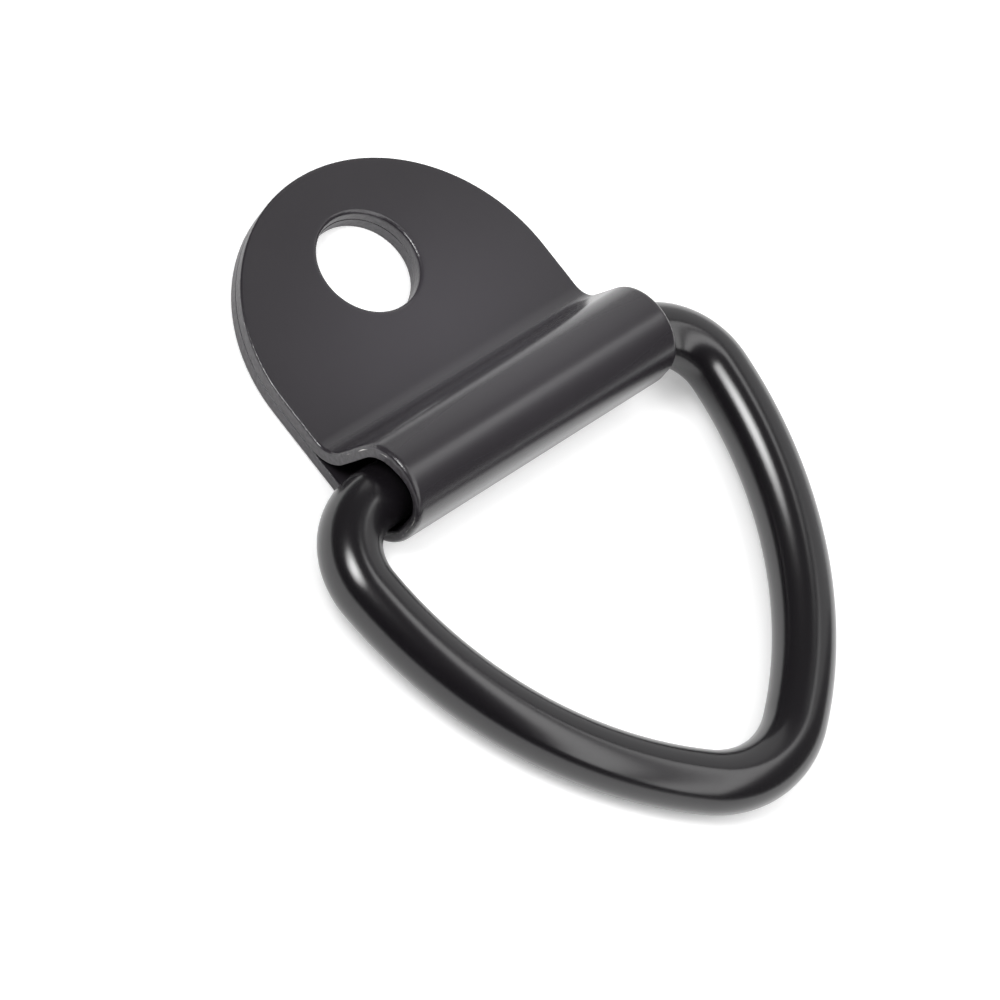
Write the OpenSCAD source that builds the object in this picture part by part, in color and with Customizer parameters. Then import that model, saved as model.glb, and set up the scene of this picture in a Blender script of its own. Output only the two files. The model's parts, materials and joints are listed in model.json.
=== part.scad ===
// Tie down anchor: a V-shaped ring of round bar that swings in a barrel folded from one strip of sheet steel.
// The strip's two ends lie on each other as a round-ended plate with one bolt hole through both.
// Millimetres. The origin is the centre of the bolt hole on the underside, +Z is up and the ring points to -Y.

/* [Strap] */
// Width of the steel strip, and so of the plate and the barrel
strap_w = 40.5; // [34:0.5:50]
// Thickness of the sheet
sheet_t = 1.5; // [1:0.1:2]
// Bolt hole centre to the plate's rounded end
end_margin = 12; // [9:0.5:16]
// Bolt hole centre to the axis of the ring's straight leg
barrel_offset = 22.9; // [20:0.1:30]
// How much taller than round the barrel stands
barrel_rise = 1.6; // [0.4:0.2:3]
// Slope of the wall that comes down behind the barrel, in degrees
wall_slope = 70.91; // [55:0.01:80]
// Radius of the visible bend where that wall meets the plate
foot_bend_r = 2.75; // [1:0.25:3.5]
// Bevel along the sheared edges of the sheet
edge_break = 0.3; // [0.1:0.05:0.4]

/* [Bolt hole] */
// Diameter of the bolt hole
bolt_hole_d = 12; // [8:0.5:14]
// Bevel round the bolt hole's upper rim
hole_rim_break = 0.5; // [0.1:0.05:0.7]

/* [Ring] */
// Diameter of the round bar
bar_d = 7; // [5:0.25:9]
// How far each corner is bent past square, in degrees
side_lean = 4.3; // [2:0.1:7]
// How far the bar turns round the nose, in degrees
nose_turn = 71; // [66:1:78]

/* [Fits] */
// Gap between the bar and the barrel, all round
barrel_gap = 0.4; // [0.2:0.05:0.8]
// Gap between each end of the barrel and the ring's side
side_gap = 3.75; // [2.5:0.25:6]
// How far inside the barrel's end the ring's corner starts to bend
corner_entry = 0.3; // [0.1:0.05:0.6]
// How far the loose ring has slid along the barrel, to the +X side where it is positive
ring_slide = -0.8; // [-1:0.1:1]
// Gap between the plate's end and the nose when the ring is folded back over the plate
nose_gap = 8.25; // [5:0.05:11]

/* [Hidden] */

// Facets of full turns and of the bar's own section
turn_facets = 96;
bar_facets = 40;
// Depth of the seam line that the two layers leave in the bolt hole's wall
hole_seam = 0.15;
// How far cutters run past the faces that they cut
cut_past = 1;
// How far a flat stretch's core runs on inside the bends beside it
core_reach = 0.4;

bar_r = bar_d / 2;
bolt_r = bolt_hole_d / 2;
plate_t = 2 * sheet_t;
end_r = strap_w / 2;
end_centre_y = end_margin - end_r;

// Barrel: two bends of one radius, the upper one higher by barrel_rise
bore_r = bar_r + barrel_gap;
barrel_r = bore_r + sheet_t;
leg_y = -barrel_offset;
leg_z = barrel_r;
crown_z = leg_z + barrel_rise;

// Wall behind the barrel, from the crown's bend down to the foot's bend
foot_drop = foot_bend_r * (1 - cos(wall_slope));
wall_top_y = leg_y + barrel_r * sin(wall_slope);
wall_top_z = crown_z + barrel_r * cos(wall_slope);
wall_len = (wall_top_z - plate_t - foot_drop) / sin(wall_slope);
foot_y = wall_top_y + wall_len * cos(wall_slope) + foot_bend_r * sin(wall_slope);
foot_z = plate_t + foot_bend_r;

// Ring outline in its own plane: u across, v from the straight leg's axis towards the nose
ring_half_w = strap_w / 2 + side_gap + bar_r;
corner_r = side_gap + bar_r + corner_entry;
corner_c = [ring_half_w - corner_r, corner_r];
nose_reach = barrel_offset + end_margin + nose_gap + bar_r;

// Directions from the +u axis in which the corner and the bowed side end
corner_end = side_lean;
bow_end = 90 - nose_turn / 2;

// Centreline radii of the bowed side and the nose: the two that close the outline across and along,
// from bow_r * across_bow + nose_r * across_nose = across_all, and the same along
across_bow = cos(corner_end) - cos(bow_end);
across_nose = cos(bow_end);
across_all = corner_c[0] + corner_r * cos(corner_end);
along_bow = sin(bow_end) - sin(corner_end);
along_nose = 1 - sin(bow_end);
along_all = nose_reach - corner_r * (1 + sin(corner_end));
solver = across_bow * along_nose - across_nose * along_bow;
bow_r = (across_all * along_nose - across_nose * along_all) / solver;
nose_r = (across_bow * along_all - along_bow * across_all) / solver;
bow_c = corner_c - (bow_r - corner_r) * [cos(corner_end), sin(corner_end)];
nose_c = [0, nose_reach - nose_r];

// The loose ring dips until its nose touches the surface that the plate lies on
rest_dip = asin((leg_z - bar_r) / nose_reach);

// Moves to a computed place, first by whole hundredths and then by the rest, so that no digits are lost
module place(v) {
    hundredths = [for (c = v) round(100 * c) / 100];
    translate(hundredths)
        translate(v - hundredths)
            children();
}

// Section of the strip, its thickness along x from the given radius and its width along y
module strip_section(inner = 0) {
    half_w = strap_w / 2;
    translate([inner, 0])
        polygon([
            [0, -half_w + edge_break],
            [edge_break, -half_w],
            [sheet_t - edge_break, -half_w],
            [sheet_t, -half_w + edge_break],
            [sheet_t, half_w - edge_break],
            [sheet_t - edge_break, half_w],
            [edge_break, half_w],
            [0, half_w - edge_break]
        ]);
}

// Straight stretch of the section that it is given, on the line that runs up the slope from [y, z].
// It starts the given way along that line.
module stretch(y, z, slope, from, length) {
    place([0, y + from * cos(slope), z + from * sin(slope)])
        rotate([slope, 0, 0])
            rotate([0, -90, -90])
                linear_extrude(length)
                    children();
}

// Flat stretch of the strip that starts at [y, z] and runs up the given slope.
// Two pieces overlap, one from each end, so that both ends meet their neighbours face to face.
// The core in the middle of the sheet runs on inside those neighbours and makes them one with the stretch.
module flat_run(y, z, length, slope = 0) {
    piece = ceil(60 * length) / 100;
    for (from = [0, length - piece])
        stretch(y, z, slope, from, piece)
            strip_section();
    stretch(y, z, slope, -core_reach, length + 2 * core_reach)
        translate([sheet_t / 2, 0])
            square([sheet_t / 3, strap_w - sheet_t], center = true);
}

// Bend of the strip about an axis along X at [y, z], between two directions from +Y
module bend(y, z, inner, from, to) {
    place([0, y, z])
        rotate([90, 0, 90])
            rotate_extrude(angle = to - from, start = from, $fn = turn_facets)
                strip_section(inner);
}

// Rounded end of one layer of the plate, standing on height z
module layer_end(z) {
    translate([0, end_centre_y, z])
        rotate_extrude(angle = 180, start = 0, $fn = turn_facets)
            polygon([
                [0, 0],
                [end_r - edge_break, 0],
                [end_r, edge_break],
                [end_r, sheet_t - edge_break],
                [end_r - edge_break, sheet_t],
                [0, sheet_t]
            ]);
}

// Bolt hole through both layers, with a broken upper rim and the seam between the layers
module bolt_hole_cutter() {
    rim_z = plate_t - hole_rim_break;
    translate([0, 0, -cut_past])
        cylinder(r = bolt_r, h = plate_t + 2 * cut_past, $fn = turn_facets);
    rotate_extrude($fn = turn_facets)
        polygon([
            [0, rim_z],
            [bolt_r, rim_z],
            [bolt_r + hole_rim_break + cut_past, plate_t + cut_past],
            [0, plate_t + cut_past]
        ]);
    rotate_extrude($fn = turn_facets)
        polygon([
            [bolt_r - cut_past, sheet_t - hole_seam - cut_past],
            [bolt_r + hole_seam, sheet_t],
            [bolt_r - cut_past, sheet_t + hole_seam + cut_past]
        ]);
}

// One strip: lower layer, barrel round the bar, wall and foot, upper layer
module folded_strap() {
    color("#3b3b3d")
        difference() {
            union() {
                layer_end(0);
                flat_run(leg_y, 0, end_centre_y - leg_y);
                bend(leg_y, leg_z, bore_r, 180, 270);
                flat_run(leg_y - bore_r, leg_z, barrel_rise, 90);
                bend(leg_y, crown_z, bore_r, 90 - wall_slope, 180);
                flat_run(wall_top_y - sheet_t * sin(wall_slope), wall_top_z - sheet_t * cos(wall_slope),
                    wall_len, -wall_slope);
                bend(foot_y, foot_z, foot_bend_r, 270 - wall_slope, 270);
                flat_run(foot_y, sheet_t, end_centre_y - foot_y);
                layer_end(sheet_t);
            }
            bolt_hole_cutter();
        }
}

// Bent stretch of the bar in the ring's own plane
module bar_bend(centre, radius, from, to) {
    place(centre)
        rotate_extrude(angle = to - from, start = from, $fn = turn_facets)
            place([radius, 0])
                circle(r = bar_r, $fn = bar_facets);
}

// Corner and bowed side on the +u half
module ring_side() {
    bar_bend(corner_c, corner_r, -90, corner_end);
    bar_bend(bow_c, bow_r, corner_end, bow_end);
}

// Closed ring of round bar: straight leg, two corners, two bowed sides and the nose
module v_ring() {
    leg_len = 2 * corner_c[0];
    color("#323234")
        translate([ring_slide, leg_y, leg_z])
            rotate([rest_dip, 0, 0])
                rotate([0, 0, 180])
                    union() {
                        translate([-leg_len / 2, 0, 0])
                            rotate([0, 90, 0])
                                cylinder(r = bar_r, h = leg_len, $fn = bar_facets);
                        ring_side();
                        mirror([1, 0, 0])
                            ring_side();
                        bar_bend(nose_c, nose_r, bow_end, 180 - bow_end);
                    }
}

folded_strap();
v_ring();
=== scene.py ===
"""Tie down anchor in a studio: a strap folded from sheet steel holds a V-shaped ring of round bar.

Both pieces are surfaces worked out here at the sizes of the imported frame, with the rolled edges, the seam
between the strap's two layers and the worn coating that the plain solids lack. Names that end in _mm are
millimetres and names that end in _deg are degrees. Points turn to metres as they enter a mesh.
"""

import json
import logging
import math
from dataclasses import dataclass
from enum import Enum
from typing import Any

import bmesh
import bpy
import numpy as np
from mathutils import Matrix, Vector


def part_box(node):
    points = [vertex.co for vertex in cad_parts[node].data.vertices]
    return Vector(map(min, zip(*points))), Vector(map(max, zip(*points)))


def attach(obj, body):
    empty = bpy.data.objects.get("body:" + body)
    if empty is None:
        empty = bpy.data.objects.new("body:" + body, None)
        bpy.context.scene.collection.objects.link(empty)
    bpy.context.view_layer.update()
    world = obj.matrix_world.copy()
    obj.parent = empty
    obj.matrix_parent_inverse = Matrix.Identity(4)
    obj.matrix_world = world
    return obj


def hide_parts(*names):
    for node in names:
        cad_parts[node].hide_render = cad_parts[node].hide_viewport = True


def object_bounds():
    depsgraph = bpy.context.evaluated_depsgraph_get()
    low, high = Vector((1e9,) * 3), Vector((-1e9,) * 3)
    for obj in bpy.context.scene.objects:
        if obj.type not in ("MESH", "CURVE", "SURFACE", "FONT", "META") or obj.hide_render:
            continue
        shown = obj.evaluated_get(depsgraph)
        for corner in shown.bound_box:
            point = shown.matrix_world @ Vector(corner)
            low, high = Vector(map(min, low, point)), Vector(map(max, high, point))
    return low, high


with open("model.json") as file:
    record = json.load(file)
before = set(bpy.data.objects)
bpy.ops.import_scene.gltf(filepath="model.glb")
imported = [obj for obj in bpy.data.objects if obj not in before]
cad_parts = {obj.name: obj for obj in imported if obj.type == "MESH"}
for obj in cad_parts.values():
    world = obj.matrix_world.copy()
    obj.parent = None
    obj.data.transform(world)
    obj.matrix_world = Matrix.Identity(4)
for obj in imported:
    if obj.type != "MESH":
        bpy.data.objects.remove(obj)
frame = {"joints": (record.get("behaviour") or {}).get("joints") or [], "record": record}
CAD_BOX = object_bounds()

MM = 0.001
log = logging.getLogger("anchor")


class Body(Enum):
    """Bodies of the frame that the pieces move with."""

    STRAP = "strap"
    RING = "ring"


def linear(colour: str) -> tuple[float, float, float, float]:
    """Turns an sRGB hex colour into the linear colour that a shader takes.

    Args:
        colour: Colour as "#rrggbb".

    Returns:
        Linear red, green, blue and an alpha of 1.
    """
    shares = np.array([int(colour[i:i + 2], 16) for i in (1, 3, 5)]) / 255
    curved = np.where(shares <= 0.04045, shares / 12.92, ((shares + 0.055) / 1.055) ** 2.4)
    return (*curved.tolist(), 1.0)


def add_node(tree: bpy.types.NodeTree, kind: str, settings: dict[str, Any] | None = None,
             links: dict[Any, bpy.types.NodeSocket] | None = None) -> bpy.types.Node:
    """Adds one node with its settings and its incoming links.

    Args:
        tree: Tree that gets the node.
        kind: Blender's name of the node's type.
        settings: Values by attribute name, or by input socket where no attribute has that name.
        links: Output sockets of other nodes by the input socket that each feeds.

    Returns:
        The new node.
    """
    node = tree.nodes.new(kind)
    for key, value in (settings or {}).items():
        if isinstance(key, str) and hasattr(node, key):
            setattr(node, key, value)
        else:
            node.inputs[key].default_value = value
    for key, socket in (links or {}).items():
        tree.links.new(socket, node.inputs[key])
    return node


@dataclass(frozen=True)
class BentLine:
    """Flat line of straight and round stretches, each of which starts where and as the last one ends.

    A stretch is its length in mm and the angle in degrees that it turns left. A turn of 0 is straight.
    """

    start: tuple[float, float]
    heading_deg: float
    stretches: tuple[tuple[float, float], ...]

    @property
    def length(self) -> float:
        """Whole length of the line."""
        return sum(length for length, _ in self.stretches)

    def follow(self, along: np.ndarray) -> tuple[np.ndarray, np.ndarray]:
        """Finds the place and the heading at distances along the line.

        On a stretch of curvature k the heading grows by k times the way gone, and the place is the start
        plus the integral of the heading's cosine and sine over that way.

        Args:
            along: Distances from the start, in mm.

        Returns:
            Places, as rows of two coordinates, and headings in radians.
        """
        lengths = np.array([length for length, _ in self.stretches])
        turns = np.radians([turn for _, turn in self.stretches])
        starts = np.concatenate([[0.0], np.cumsum(lengths)[:-1]])
        headings = math.radians(self.heading_deg) + np.concatenate([[0.0], np.cumsum(turns)])
        sweep = _integral(headings[:-1], turns, lengths, lengths)
        corners = np.array(self.start) + np.vstack([[0.0, 0.0], np.cumsum(sweep, axis=0)])
        which = np.clip(np.searchsorted(starts, along, side="right") - 1, 0, len(starts) - 1)
        way = along - starts[which]
        places = corners[which] + _integral(headings[which], turns[which], lengths[which], way)
        return places, headings[which] + turns[which] * way / lengths[which]


def _integral(heading: np.ndarray, turn: np.ndarray, length: np.ndarray, way: np.ndarray) -> np.ndarray:
    """Way covered on a stretch, as two coordinates: a chord as long as the arc's sine rule gives.

    Args:
        heading: Heading at the stretch's start, in radians.
        turn: Whole turn of the stretch, in radians.
        length: Whole length of the stretch.
        way: Length of it that is gone.

    Returns:
        Rows of two coordinates from the stretch's start.
    """
    half = turn * way / length / 2
    chord = way * np.sinc(half / np.pi)
    return np.stack([chord * np.cos(heading + half), chord * np.sin(heading + half)], axis=-1)


def smooth_step(value: np.ndarray, start: float, end: float) -> np.ndarray:
    """Share that eases from 0 at the start to 1 at the end: three times its square less twice its cube."""
    share = np.clip((value - start) / (end - start), 0.0, 1.0)
    return share * share * (3 - 2 * share)


@dataclass(frozen=True)
class RolledEdge:
    """Section of a sheared sheet's edge: rolled over on both faces, with a torn cut between.

    The roll on each face is a quarter of an ellipse of the given width and depth.
    """

    thickness_mm: float
    outer_mm: tuple[float, float]
    inner_mm: tuple[float, float]
    steps: int = 8

    def section(self, outer_growth: np.ndarray | float = 1.0, inner_growth: np.ndarray | float = 1.0,
                ) -> tuple[np.ndarray, np.ndarray, np.ndarray, np.ndarray]:
        """Works the section out from the outer face, over the edge, to the inner face.

        Args:
            outer_growth: Factor of the outer roll's width and depth, at each station along the edge.
            inner_growth: The same for the inner roll.

        Returns:
            Rows of points at each station: how far each lies in from the edge, its height from the
            sheet's middle, its share of wear, which is 1 where a roll meets the cut and 0 on the faces
            and the cut, and how torn it is, from 0 on the faces to 1 on the cut.
        """
        angle = np.linspace(0.0, math.pi / 2, self.steps + 1)[:, None]
        half = self.thickness_mm / 2
        outer_in = outer_growth * self.outer_mm[0] * (1 - np.sin(angle))
        outer_up = half - outer_growth * self.outer_mm[1] * (1 - np.cos(angle))
        inner_in = inner_growth * self.inner_mm[0] * (1 - np.sin(angle[::-1]))
        inner_up = -half + inner_growth * self.inner_mm[1] * (1 - np.cos(angle[::-1]))
        share = np.array([0.15, 0.5, 0.85])[:, None]
        cut_up = outer_up[-1:] + share * (inner_up[:1] - outer_up[-1:])
        torn = np.sin(angle)
        wear = torn ** 8
        return (np.vstack([outer_in, 0 * cut_up, inner_in]), np.vstack([outer_up, cut_up, inner_up]),
                np.vstack([wear, 0 * share, 0.35 * wear[::-1]]), np.vstack([torn, 0 * share + 1, torn[::-1]]))


class Skin:
    """Closed skin of a piece, put together from grids of points that share their borders."""

    def __init__(self, name: str) -> None:
        """Starts an empty skin of that name."""
        self.name = name
        self.points: list[np.ndarray] = []
        self.faces: list[np.ndarray] = []
        self.shares: dict[str, list[np.ndarray]] = {"wear": [], "torn": []}

    def add(self, grid: np.ndarray, wear: np.ndarray | float = 0.0, torn: np.ndarray | float = 0.0) -> None:
        """Adds a grid of points, with a quad between each four neighbours.

        Args:
            grid: Points in mm, as rows by columns by three.
            wear: Share of wear of each point, or of each row, or of all.
            torn: How torn the surface is, in the same way.
        """
        rows, columns, _ = grid.shape
        first = sum(len(p) for p in self.points)
        index = first + np.arange(rows * columns).reshape(rows, columns)
        quads = np.stack([index[:-1, :-1], index[:-1, 1:], index[1:, 1:], index[1:, :-1]], axis=-1)
        self.points.append(grid.reshape(-1, 3) * MM)
        self.faces.append(quads.reshape(-1, 4))
        for name, share in (("wear", wear), ("torn", torn)):
            self.shares[name].append((np.zeros((rows, columns)) + share).ravel())

    def build(self) -> bpy.types.Object:
        """Merges the borders, turns every face outwards and makes the object.

        Returns:
            Object with smooth faces and the float attributes "wear" and "torn" on its points.
        """
        mesh = bpy.data.meshes.new(self.name)
        mesh.from_pydata(np.vstack(self.points).tolist(), [], np.vstack(self.faces).tolist())
        for name, share in self.shares.items():
            mesh.attributes.new(name, "FLOAT", "POINT").data.foreach_set("value", np.concatenate(share))
        shell = bmesh.new()
        shell.from_mesh(mesh)
        bmesh.ops.remove_doubles(shell, verts=shell.verts, dist=0.0005 * MM)
        bmesh.ops.dissolve_degenerate(shell, edges=shell.edges, dist=0.0001 * MM)
        bmesh.ops.recalc_face_normals(shell, faces=shell.faces)
        open_edges = sum(not edge.is_manifold for edge in shell.edges)
        volume = shell.calc_volume(signed=True)
        shell.to_mesh(mesh)
        shell.free()
        mesh.shade_smooth()
        piece = bpy.data.objects.new(self.name, mesh)
        bpy.context.scene.collection.objects.link(piece)
        log.info("%s: %d faces, %d open edges, %.0f cubic mm", self.name, len(mesh.polygons), open_edges,
                 volume / MM ** 3)
        return piece


@dataclass
class FoldedStrap:
    """Strip of sheet steel with round ends, folded round the ring's bar and doubled into the plate.

    The blank is laid out flat first: x across, s along the middle of the sheet from the lower layer's end
    to the upper layer's, and h up from the middle. Folding carries s along a bent line and h square to it.
    """

    width_mm: float
    tip_mm: float
    crown_mm: float
    leg_y_mm: float
    leg_z_mm: float
    barrel_mm: float
    hole_mm: float
    plate_mm: float = 3.0
    seam_mm: float = 0.02
    wall_slope_deg: float = 70.91
    foot_bend_mm: float = 2.75
    roll_mm: tuple[float, float] = (0.32, 0.26)
    burr_mm: float = 0.08
    barrel_roll_growth: float = 2.2
    mouth_roll_growth: float = 11.3
    rim_roll_mm: float = 0.5
    hole_slip_mm: tuple[float, float] = (0.04, 0.06)
    cut_mm: float = 23.0
    arc_steps: int = 96
    side_steps: int = 5
    across_steps: int = 48
    ring_steps: int = 14
    pitch_mm: float = 0.28

    @classmethod
    def from_frame(cls) -> "FoldedStrap":
        """Reads the sizes that the frame gives: the node's box, the hinge's axis and the bolt hole."""
        low, high = (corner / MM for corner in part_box("folded_strap"))
        hinge = Vector(frame["joints"][0]["pos_m"]) / MM
        hole = next(m for m in frame["record"]["mounts"] if m["name"] == "bolt_hole")
        return cls(width_mm=high.x - low.x, tip_mm=high.y, crown_mm=high.z, leg_y_mm=hinge.y,
                   leg_z_mm=hinge.z, barrel_mm=hinge.y - low.y, hole_mm=hole["dims"]["r_mm"])

    @property
    def sheet_mm(self) -> float:
        """Thickness of the sheet: half the plate, less half the seam."""
        return (self.plate_mm - self.seam_mm) / 2

    def fold_line(self) -> BentLine:
        """Bent line of the sheet's middle, seen along x with y to the right and z up."""
        half = self.sheet_mm / 2
        bend = self.barrel_mm - half
        foot = self.foot_bend_mm + half
        slope = math.radians(self.wall_slope_deg)
        crown_centre = self.crown_mm - self.barrel_mm
        top_middle = self.plate_mm - half
        drop = crown_centre + bend * math.cos(slope) - top_middle - foot * (1 - math.cos(slope))
        wall = drop / math.sin(slope)
        foot_y = self.leg_y_mm + (bend + foot) * math.sin(slope) + wall * math.cos(slope)
        return BentLine((self.tip_mm, half), 180.0, (
            (self.tip_mm - self.leg_y_mm, 0.0),
            (bend * math.pi / 2, -90.0),
            (crown_centre - self.leg_z_mm, 0.0),
            (bend * (math.pi / 2 + slope), -90.0 - self.wall_slope_deg),
            (wall, 0.0),
            (foot * slope, self.wall_slope_deg),
            (self.tip_mm - foot_y, 0.0),
        ))

    def fold(self, x: np.ndarray, s: np.ndarray, h: np.ndarray | float) -> np.ndarray:
        """Folds points of the flat blank: each goes to the line's place at s, plus h along its left normal.

        Args:
            x: Places across the strip.
            s: Places along the strip.
            h: Heights from the sheet's middle, towards the outside of the barrel.

        Returns:
            Points in mm, with the grid's own shape and three coordinates.
        """
        places, heading = self.fold_line().follow(s)
        across, up, _ = np.broadcast_arrays(x, np.asarray(h, float), heading)
        return np.stack([across, places[..., 0] - up * np.sin(heading), places[..., 1] + up * np.cos(heading)],
                        axis=-1)

    def edge(self) -> RolledEdge:
        """Edge of the strip: rolled over on the outer face and barely on the inner one."""
        return RolledEdge(self.sheet_mm, self.roll_mm, (self.burr_mm, self.burr_mm))

    def rim(self, upper: bool) -> RolledEdge:
        """Edge of the bolt hole in the upper or the lower layer."""
        roll = self.rim_roll_mm if upper else self.burr_mm
        return RolledEdge(self.sheet_mm, (roll, roll), (self.burr_mm, self.burr_mm))

    def growth(self, s: np.ndarray) -> tuple[np.ndarray, np.ndarray]:
        """Factors by which the edge's two rolls grow where the sheet is bent round the barrel.

        Each factor eases from 1 to its most and back, by smooth steps between places along the strip: the
        outer roll from the lower layer's end to the foot's bend, the inner one up to the crown's top.

        Args:
            s: Places along the strip.

        Returns:
            Factors of the outer and the inner roll.
        """
        ends = np.cumsum([length for length, _ in self.fold_line().stretches])
        lower, front, rise, crown, _, foot = ends[:6]
        top = rise + front - lower
        outer = smooth_step(s, lower, front) * smooth_step(s, foot + 2.0, crown)
        inner = smooth_step(s, lower - self.barrel_mm, lower) * smooth_step(s, top + 1.0, top - 3.5)
        return 1 + (self.barrel_roll_growth - 1) * outer, 1 + (self.mouth_roll_growth - 1) * inner

    def middle_places(self) -> np.ndarray:
        """Places along the strip between the two cells that hold the bolt holes."""
        span = self.fold_line().length - 2 * self.cut_mm
        return self.cut_mm + np.linspace(0.0, span, math.ceil(span / self.pitch_mm) + 1)

    def cell_border(self, inset: float) -> tuple[np.ndarray, np.ndarray]:
        """Border of the cell round the lower bolt hole: a side, the round end, a side and the cut across.

        A point of the round end lies at the half width, less the inset, from the end's centre.

        Args:
            inset: How far the border lies in from the strip's edge.

        Returns:
            Places x and s, in order round the cell, with the first one repeated at the end.
        """
        centre = self.width_mm / 2
        reach = centre - inset
        angle = np.linspace(0.0, math.pi, self.arc_steps + 1)
        side = np.linspace(self.cut_mm, centre, self.side_steps + 1)[:-1]
        sides = np.full(self.side_steps, reach)
        across = self.across_places(inset)
        x = np.concatenate([sides, reach * np.cos(angle), -sides, across])
        s = np.concatenate([side, centre - reach * np.sin(angle), side[::-1], np.full(len(across), self.cut_mm)])
        return x, s

    def across_places(self, inset: np.ndarray | float) -> np.ndarray:
        """Places across the strip, from one inset border to the other, closer beside the borders."""
        even = np.linspace(-1.0, 1.0, self.across_steps + 1)
        shares = np.concatenate([[-1.0, -0.994], even[1:-1], [0.994, 1.0]])
        return (self.width_mm / 2 - np.asarray(inset)[..., None]) * shares

    def build(self) -> bpy.types.Object:
        """Builds the whole strap: faces, edge and hole walls, mirrored along the strip for the upper layer.

        Returns:
            The piece, riding on the strap's body in place of its solid.
        """
        skin = Skin("folded_strip")
        length = self.fold_line().length
        half = self.sheet_mm / 2
        edge = self.edge()
        middle = self.middle_places()
        outer, inner = self.growth(middle)
        for height, inset in ((half, outer * edge.outer_mm[0]), (-half, inner * edge.inner_mm[0])):
            skin.add(self.fold(self.across_places(inset), middle[:, None], height))
        self.add_edge(skin, edge, middle, length)
        for upper in (False, True):
            self.add_cell(skin, edge, self.rim(upper), upper, length)
        piece = skin.build()
        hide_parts("folded_strap")
        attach(piece, Body.STRAP.value)
        return piece

    def add_edge(self, skin: Skin, edge: RolledEdge, middle: np.ndarray, length: float) -> None:
        """Carries the edge's section round the blank's outline, moved in from it by each point's inset.

        Args:
            skin: Skin that gets the edge.
            edge: Section of the edge.
            middle: Places along the middle stretch.
            length: Length of the strip.
        """
        plain_in = edge.section()[0]
        count = 2 * self.side_steps + self.arc_steps + 1
        rows = []
        for step in plain_in[:, 0]:
            x, s = (places[:count] for places in self.cell_border(float(step)))
            side = np.full(len(middle), self.width_mm / 2 - step)
            rows.append(np.stack([np.concatenate([x, -side, -x, side]),
                                  np.concatenate([s, middle, length - s, middle[::-1]])]))
        x, s = np.moveaxis(np.array(rows), 1, 0)
        inset, height, wear, torn = edge.section(*self.growth(s[0]))
        grid = self.fold(x - np.sign(x) * (inset - plain_in), s, height)
        skin.add(np.concatenate([grid, grid[:, :1]], axis=1), wear, torn)

    def add_cell(self, skin: Skin, edge: RolledEdge, rim: RolledEdge, upper: bool, length: float) -> None:
        """Adds both faces of the cell round one bolt hole, and the hole's wall.

        A face is ruled: its points lie on straight lines from the hole's rim to the cell's border.
        The wall is the rim's section carried round the hole.

        Args:
            skin: Skin that gets the faces.
            edge: Section of the strip's edge.
            rim: Section of the hole's edge.
            upper: Whether this is the upper layer's cell.
            length: Length of the strip.
        """
        slip_x, slip_s = (0.0, 0.0) if upper else self.hole_slip_mm
        hole_x, hole_s = slip_x, self.tip_mm + slip_s
        true_x, true_s = self.cell_border(0.0)
        angle = np.arctan2(true_s - hole_s, true_x - hole_x)
        start, way = (length, -1.0) if upper else (0.0, 1.0)
        share = np.linspace(0.0, 1.0, self.ring_steps + 1)
        share = np.concatenate([[0.0, 0.02], share[1:-1], [0.98, 1.0]])[:, None]
        for height, inset, roll in ((edge.thickness_mm / 2, edge.outer_mm[0], rim.outer_mm[0]),
                                    (-edge.thickness_mm / 2, edge.inner_mm[0], rim.inner_mm[0])):
            border_x, border_s = self.cell_border(inset)
            rim_x = hole_x + (self.hole_mm + roll) * np.cos(angle)
            rim_s = hole_s + (self.hole_mm + roll) * np.sin(angle)
            x = rim_x + share * (border_x - rim_x)
            s = rim_s + share * (border_s - rim_s)
            skin.add(self.fold(x, start + way * s, height))
        inset, height, wear, torn = rim.section()
        x = hole_x + (self.hole_mm + inset) * np.cos(angle)
        s = hole_s + (self.hole_mm + inset) * np.sin(angle)
        skin.add(self.fold(x, start + way * s, height), wear, torn)


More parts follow.
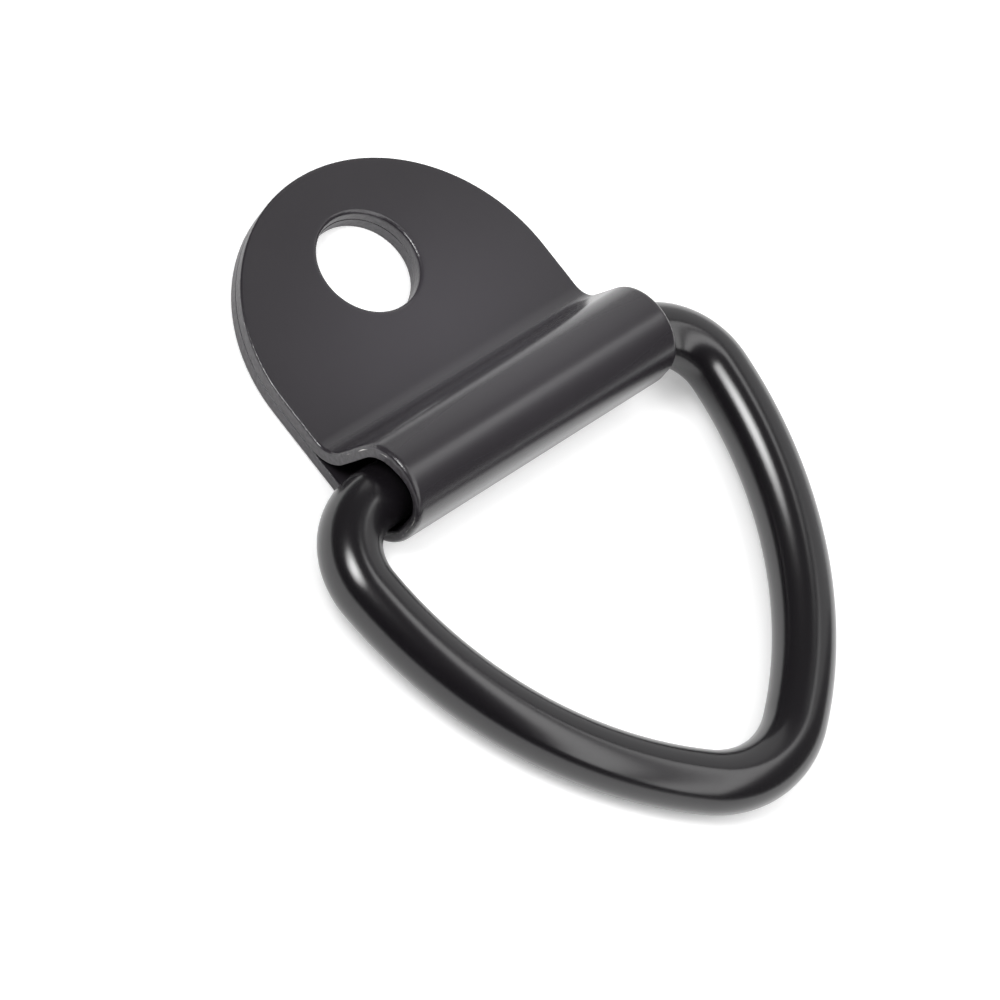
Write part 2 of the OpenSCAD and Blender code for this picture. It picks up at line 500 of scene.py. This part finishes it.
@dataclass
class BarRing:
    """Closed ring of round bar: straight leg, two corners, two bowed sides and a round nose.

    The centreline lies in the ring's own plane, which dips from the hinge until the nose meets the floor.
    The loose ring lies slid a little to one side.
    """

    slide_mm: float
    leg_y_mm: float
    leg_z_mm: float
    bar_mm: float
    half_width_mm: float
    nose_y_mm: float
    strap_half_mm: float
    corner_entry_mm: float = 0.3
    side_lean_deg: float = 4.3
    nose_turn_deg: float = 71.0
    pitch_mm: float = 0.3
    round_steps: int = 56

    @classmethod
    def from_frame(cls) -> "BarRing":
        """Reads the sizes that the frame gives: the node's box, the hinge's axis and the strap's width."""
        low, high = (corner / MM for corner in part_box("v_ring"))
        hinge = Vector(frame["joints"][0]["pos_m"]) / MM
        bar = high.z - hinge.z
        return cls(slide_mm=(low.x + high.x) / 2, leg_y_mm=hinge.y, leg_z_mm=hinge.z, bar_mm=bar,
                   half_width_mm=(high.x - low.x) / 2 - bar, nose_y_mm=low.y + bar,
                   strap_half_mm=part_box("folded_strap")[1].x / MM)

    def centreline(self) -> BentLine:
        """Centreline from the middle of the leg round to it again, in the ring's plane.

        The bowed side's and the nose's radii are the two that close the outline, across and along.
        """
        lean = math.radians(self.side_lean_deg)
        turn = math.radians(self.nose_turn_deg)
        end = math.pi / 2 - turn / 2
        reach = math.hypot(self.leg_y_mm - self.nose_y_mm, self.leg_z_mm - self.bar_mm)
        corner = self.half_width_mm - self.strap_half_mm + self.corner_entry_mm
        leg = self.half_width_mm - corner
        sums = np.array([[math.cos(lean) - math.cos(end), math.cos(end)],
                         [math.sin(end) - math.sin(lean), 1 - math.sin(end)]])
        spans = np.array([leg + corner * math.cos(lean), reach - corner * (1 + math.sin(lean))])
        bow, nose = np.linalg.solve(sums, spans)
        side = ((corner * (math.pi / 2 + lean), 90 + self.side_lean_deg),
                (bow * (end - lean), math.degrees(end - lean)))
        return BentLine((0.0, 0.0), 0.0, ((leg, 0.0), *side, (nose * turn, self.nose_turn_deg),
                                          *side[::-1], (leg, 0.0)))

    def build(self) -> bpy.types.Object:
        """Carries a circle along the centreline: centre plus radius times cosine inwards and sine upwards.

        Returns:
            The piece, riding on the ring's body in place of its solid.
        """
        line = self.centreline()
        stations = np.linspace(0.0, line.length, math.ceil(line.length / self.pitch_mm) + 1)
        places, heading = line.follow(stations)
        places[-1], heading[-1] = places[0], heading[0]
        angle = np.linspace(0.0, 2 * math.pi, self.round_steps + 1)
        inwards = self.bar_mm * np.cos(angle)[None, :]
        u = places[:, :1] - inwards * np.sin(heading)[:, None]
        v = places[:, 1:] + inwards * np.cos(heading)[:, None]
        w = self.bar_mm * np.sin(angle)[None, :] + 0 * u
        dip = math.atan2(self.leg_z_mm - self.bar_mm, self.leg_y_mm - self.nose_y_mm)
        grid = np.stack([u + self.slide_mm, self.leg_y_mm - v * math.cos(dip) - w * math.sin(dip),
                         self.leg_z_mm - v * math.sin(dip) + w * math.cos(dip)], axis=-1)
        skin = Skin("round_bar_ring")
        skin.add(grid)
        piece = skin.build()
        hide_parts("v_ring")
        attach(piece, Body.RING.value)
        return piece


@dataclass(frozen=True)
class PowderCoat:
    """Powder coat on steel: baked polymer that flows out satin smooth, with a faint orange peel.

    The eye gets a dull black body under a clear, slightly soft reflection. The coat is mottled and duller on
    the torn cut of a sheet's edge, dented along its rolls, and rubbed to bright steel on a few sharp spots. Its
    colour is also made paler in a soft pool round a centre: painted light.
    """

    name: str
    colour: str
    colour_thin: str
    roughness: float
    steel: str = "#c4c2bf"
    torn_colour: str = "#39363b"
    torn_roughness: float = 0.4
    # Painted light: a paler pool of colour round a centre, with its reach along each axis
    painted_light_colour: str = "#3c393e"
    painted_light_centre_mm: tuple[float, float, float] = (2.0, -11.0, 3.0)
    painted_light_reach_mm: tuple[float, float, float] = (30.0, 21.0, 60.0)
    ior: float = 1.6
    peel_mm: float = 1.6
    peel_depth_mm: float = 0.0025
    dent_mm: float = 0.55
    dent_depth_mm: float = 0.08
    speck_mm: float = 2.2
    bare_share: float = 0.6

    def build(self) -> bpy.types.Material:
        """Makes the material.

        Returns:
            Material that reads Object coordinates and the attribute "wear".
        """
        material = bpy.data.materials.new(self.name)
        material.use_nodes = True
        tree = material.node_tree
        tree.nodes.clear()
        place = add_node(tree, "ShaderNodeTexCoord").outputs["Object"]
        peel = add_node(tree, "ShaderNodeTexNoise", {"Scale": 1 / (self.peel_mm * MM), "Detail": 2.0},
                        {"Vector": place})
        cloud = add_node(tree, "ShaderNodeTexNoise", {"Scale": 1 / (9 * self.peel_mm * MM), "Detail": 3.0},
                         {"Vector": place})
        patches = add_node(tree, "ShaderNodeTexNoise", {"Scale": 1 / (self.speck_mm * MM), "Detail": 4.0},
                           {"Vector": place})
        dents = add_node(tree, "ShaderNodeTexNoise", {"Scale": 1 / (self.dent_mm * MM), "Detail": 3.0},
                         {"Vector": place})
        wear = add_node(tree, "ShaderNodeAttribute", {"attribute_name": "wear"})
        torn = add_node(tree, "ShaderNodeAttribute", {"attribute_name": "torn"})
        worn = add_node(tree, "ShaderNodeMath", {"operation": "MULTIPLY"},
                        {0: wear.outputs["Fac"], 1: patches.outputs["Fac"]})
        bare = add_node(tree, "ShaderNodeMapRange", {"From Min": self.bare_share,
                                                      "From Max": self.bare_share + 0.04},
                        {"Value": worn.outputs[0]})
        shade = add_node(tree, "ShaderNodeMix", {"data_type": "RGBA", 6: linear(self.colour),
                                                  7: linear(self.colour_thin)},
                         {0: cloud.outputs["Fac"]})
        # Painted light: the colour turns paler towards the centre of a soft pool
        spread = [1 / (reach * MM) for reach in self.painted_light_reach_mm]
        centre = [-middle * MM * scale for middle, scale in zip(self.painted_light_centre_mm, spread)]
        near = add_node(tree, "ShaderNodeMapping", {"Location": centre, "Scale": spread}, {"Vector": place})
        painted_light_pool = add_node(tree, "ShaderNodeTexGradient", {"gradient_type": "SPHERICAL"}, {"Vector": near.outputs[0]})
        pale = add_node(tree, "ShaderNodeMapRange", {"interpolation_type": "SMOOTHSTEP"},
                        {"Value": painted_light_pool.outputs["Fac"]})
        shade = add_node(tree, "ShaderNodeMix", {"data_type": "RGBA", 7: linear(self.painted_light_colour)},
                         {0: pale.outputs[0], 6: shade.outputs[2]})
        cut = add_node(tree, "ShaderNodeMapRange", {"From Min": 0.85}, {"Value": torn.outputs["Fac"]})
        mottle = add_node(tree, "ShaderNodeMapRange", {"From Min": 0.4, "From Max": 0.62},
                          {"Value": dents.outputs["Fac"], "To Max": cut.outputs[0]})
        shade = add_node(tree, "ShaderNodeMix", {"data_type": "RGBA", 7: linear(self.torn_colour)},
                         {0: mottle.outputs[0], 6: shade.outputs[2]})
        body = add_node(tree, "ShaderNodeMix", {"data_type": "RGBA", 7: linear(self.steel)},
                        {0: bare.outputs[0], 6: shade.outputs[2]})
        gloss = add_node(tree, "ShaderNodeMapRange", {"To Min": self.roughness - 0.03,
                                                       "To Max": self.roughness + 0.03},
                         {"Value": cloud.outputs["Fac"]})
        gloss = add_node(tree, "ShaderNodeMix", {"data_type": "FLOAT", 3: self.torn_roughness},
                         {0: cut.outputs[0], 2: gloss.outputs[0]})
        dented = add_node(tree, "ShaderNodeMath", {"operation": "MULTIPLY"},
                          {0: dents.outputs["Fac"], 1: torn.outputs["Fac"]})
        height = add_node(tree, "ShaderNodeMath", {"operation": "MULTIPLY_ADD",
                                                    1: self.dent_depth_mm / self.peel_depth_mm},
                          {0: dented.outputs[0], 2: peel.outputs["Fac"]})
        bump = add_node(tree, "ShaderNodeBump", {"Strength": 1.0, "Distance": self.peel_depth_mm * MM},
                        {"Height": height.outputs[0]})
        shader = add_node(tree, "ShaderNodeBsdfPrincipled", {"IOR": self.ior},
                          {"Base Color": body.outputs[2], "Metallic": bare.outputs[0],
                           "Roughness": gloss.outputs[0], "Normal": bump.outputs[0]})
        add_node(tree, "ShaderNodeOutputMaterial", links={"Surface": shader.outputs[0]})
        return material


# Each coat paints a pool of light in its painted light colour
SHEET_COAT = PowderCoat("powder_coat_on_sheet", "#272428", "#2b282c", 0.25)
BAR_COAT = PowderCoat("powder_coat_on_bar", "#141215", "#171518", 0.2, painted_light_colour="#171518")


@dataclass(frozen=True)
class WhitePaper:
    """Matt white paper of the studio's floor: the camera sees it pure white but for the object's shadow.

    Its glow fades by ambient occlusion where the object stands close over it, a painted shadow that keeps the shadow
    deepest there. From below it is clear, so that the object's underside shows.
    """

    colour: str = "#f0f0f0"
    glow: float = 0.5
    shade_reach: float = 0.005
    open_share: float = 0.6

    def build(self) -> bpy.types.Material:
        """Makes the material, which glows for camera, glossy and transmission rays only."""
        material = bpy.data.materials.new("white_paper")
        material.use_nodes = True
        tree = material.node_tree
        tree.nodes.clear()
        rays = add_node(tree, "ShaderNodeLightPath").outputs
        seen = add_node(tree, "ShaderNodeMath", {"operation": "MAXIMUM"},
                        {0: rays["Is Camera Ray"], 1: rays["Is Glossy Ray"]})
        seen = add_node(tree, "ShaderNodeMath", {"operation": "MAXIMUM"},
                        {0: seen.outputs[0], 1: rays["Is Transmission Ray"]})
        # Painted shadow: ambient occlusion over the given reach cuts the glow where the object stands close
        painted_shadow_occlusion = add_node(tree, "ShaderNodeAmbientOcclusion", {"samples": 4, "Distance": self.shade_reach})
        glow_with_painted_shadow = add_node(tree, "ShaderNodeMapRange", {"interpolation_type": "SMOOTHSTEP",
                                                     "From Max": self.open_share, "To Max": self.glow},
                       {"Value": painted_shadow_occlusion.outputs["AO"]})
        power = add_node(tree, "ShaderNodeMath", {"operation": "MULTIPLY"},
                         {0: seen.outputs[0], 1: glow_with_painted_shadow.outputs[0]})
        shader = add_node(tree, "ShaderNodeBsdfPrincipled",
                          {"Base Color": linear(self.colour), "Roughness": 1.0, "Specular IOR Level": 0.0,
                           "Emission Color": (1.0, 1.0, 1.0, 1.0)},
                          {"Emission Strength": power.outputs[0]})
        below = add_node(tree, "ShaderNodeNewGeometry").outputs["Backfacing"]
        clear = add_node(tree, "ShaderNodeBsdfTransparent")
        paper = add_node(tree, "ShaderNodeMixShader", links={0: below, 1: shader.outputs[0],
                                                             2: clear.outputs[0]})
        add_node(tree, "ShaderNodeOutputMaterial", links={"Surface": paper.outputs[0]})
        return material


def compass(azimuth_deg: float, elevation_deg: float) -> Vector:
    """Unit vector towards an azimuth, which is 0 at -Y and 90 at +X, and a height above the floor."""
    azimuth, elevation = math.radians(azimuth_deg), math.radians(elevation_deg)
    return Vector((math.sin(azimuth) * math.cos(elevation), -math.cos(azimuth) * math.cos(elevation),
                   math.sin(elevation)))


def facing(back: Vector, roll_deg: float) -> Matrix:
    """Turn of a camera or lamp whose back points along a vector, rolled about its own line of sight."""
    level = Vector((0.0, 0.0, 1.0)).cross(back).normalized()
    turned = Matrix((level, back.cross(level), back)).transposed()
    return (turned @ Matrix.Rotation(math.radians(roll_deg), 3, "Z")).to_4x4()


@dataclass(frozen=True)
class Softbox:
    """Flat lamp that shines at the object from a compass direction and a height.

    Its brightness is measured in white paper: at 1 it looks as bright as white paper in the picture.
    """

    name: str
    azimuth_deg: float
    elevation_deg: float
    roll_deg: float
    distance: float
    size: tuple[float, float]
    brightness: float
    shape: str = "RECTANGLE"

    def build(self, target: Vector) -> bpy.types.Object:
        """Hangs the lamp and turns it to the target.

        The power of a matt lamp is pi times its area times its brightness.

        Args:
            target: Point that the lamp faces.

        Returns:
            The lamp.
        """
        lamp = bpy.data.lights.new(self.name, "AREA")
        lamp.shape = self.shape
        lamp.size, lamp.size_y = self.size
        area = self.size[0] * self.size[1] * (math.pi / 4 if self.shape == "ELLIPSE" else 1.0)
        lamp.energy = math.pi * area * self.brightness
        holder = bpy.data.objects.new(self.name, lamp)
        bpy.context.scene.collection.objects.link(holder)
        way = compass(self.azimuth_deg, self.elevation_deg)
        holder.matrix_world = Matrix.Translation(target + way * self.distance) @ facing(way, self.roll_deg)
        holder.visible_camera = False
        return holder


@dataclass
class Studio:
    """White floor, plain light and the camera at the photograph's viewing angle."""

    target_mm: tuple[float, float, float] = (-3.76, -29.215, 0.0)
    azimuth_deg: float = -76.861
    elevation_deg: float = 53.013
    roll_deg: float = 41.318
    distance_mm: float = 702.97
    lens_mm: float = 236.04
    floor_size: float = 6.0
    floor_gap_mm: float = 0.05
    room: tuple[float, float, float] = (0.1, 0.02, -0.014)
    room_middle: float = 0.103
    sweep: float = 0.6

    def build(self) -> None:
        """Sets the floor, the world, the lamps and the camera."""
        self.build_floor()
        self.build_world()
        for box in (Softbox("key_softbox", -122.3, 54.7, 31.9, 1.5, (0.72, 0.9), 7.4, "ELLIPSE"),
                    Softbox("key_hot_core", -122.3, 54.7, 31.9, 1.49, (0.38, 0.5), 9.0, "ELLIPSE"),
                    Softbox("overhead_low_strip", 17.79, 48.71, 35.51, 1.319, (2.5, 0.33), 2.8),
                    Softbox("overhead_high_strip", -10.14, 63.44, 59.02, 1.326, (2.5, 0.34), 3.1),
                    Softbox("white_card", 112.0, 22.0, -10.0, 1.6, (2.2, 1.7), 0.7)):
            box.build(Vector((0.0, -0.03, 0.0)))
        self.build_camera()
        bpy.context.scene.view_settings.view_transform = "Standard"

    def build_floor(self) -> None:
        """Lays the floor a hair under the object's lowest point."""
        reach = self.floor_size / 2
        level = float(CAD_BOX[0][2]) - self.floor_gap_mm * MM
        mesh = bpy.data.meshes.new("studio_floor")
        mesh.from_pydata([(-reach, -reach, level), (reach, -reach, level), (reach, reach, level),
                          (-reach, reach, level)], [], [(0, 1, 2, 3)])
        floor = bpy.data.objects.new("studio_floor", mesh)
        bpy.context.scene.collection.objects.link(floor)
        floor.data.materials.append(WhitePaper().build())

    def build_world(self) -> None:
        """Lights the room dimly, darkest on the camera's side, over a low pale sweep round the floor.

        The room's brightness is its middle plus the direction's dot product with the room vector.
        """
        world = bpy.data.worlds.new("studio_world")
        world.use_nodes = True
        bpy.context.scene.world = world
        tree = world.node_tree
        tree.nodes.clear()
        way = add_node(tree, "ShaderNodeTexCoord").outputs["Generated"]
        slant = add_node(tree, "ShaderNodeVectorMath", {"operation": "DOT_PRODUCT", 1: self.room}, {0: way})
        room = add_node(tree, "ShaderNodeMath", {"operation": "ADD", "use_clamp": True, 1: self.room_middle},
                        {0: slant.outputs["Value"]})
        height = add_node(tree, "ShaderNodeSeparateXYZ", links={0: way})
        low = add_node(tree, "ShaderNodeMapRange", {"From Min": 0.08, "From Max": 0.05}, {"Value": height.outputs[2]})
        glow = add_node(tree, "ShaderNodeMix", {"data_type": "FLOAT", 3: self.sweep},
                        {0: low.outputs[0], 2: room.outputs[0]})
        light = add_node(tree, "ShaderNodeBackground", {"Color": (1.0, 1.0, 1.0, 1.0)},
                         {"Strength": glow.outputs[0]})
        add_node(tree, "ShaderNodeOutputWorld", links={"Surface": light.outputs[0]})

    def build_camera(self) -> None:
        """Points the camera at the target from the photograph's side, rolled as the photograph is."""
        back = compass(self.azimuth_deg, self.elevation_deg)
        lens = bpy.data.cameras.new("photo_camera")
        lens.lens = self.lens_mm
        lens.sensor_width = 36.0
        lens.clip_start = 0.01
        lens.clip_end = 20.0
        camera = bpy.data.objects.new("photo_camera", lens)
        bpy.context.scene.collection.objects.link(camera)
        place = Vector(self.target_mm) * MM + back * self.distance_mm * MM
        camera.matrix_world = Matrix.Translation(place) @ facing(back, self.roll_deg)
        bpy.context.scene.camera = camera


def main() -> None:
    """Builds the strap, the ring and the studio, dresses the pieces and notes the sizes."""
    logging.basicConfig(level=logging.INFO, format="%(name)s: %(message)s")
    strap = FoldedStrap.from_frame().build()
    strap.data.materials.append(SHEET_COAT.build())
    ring = BarRing.from_frame().build()
    ring.data.materials.append(BAR_COAT.build())
    Studio().build()


if __name__ == "__main__":
    main()
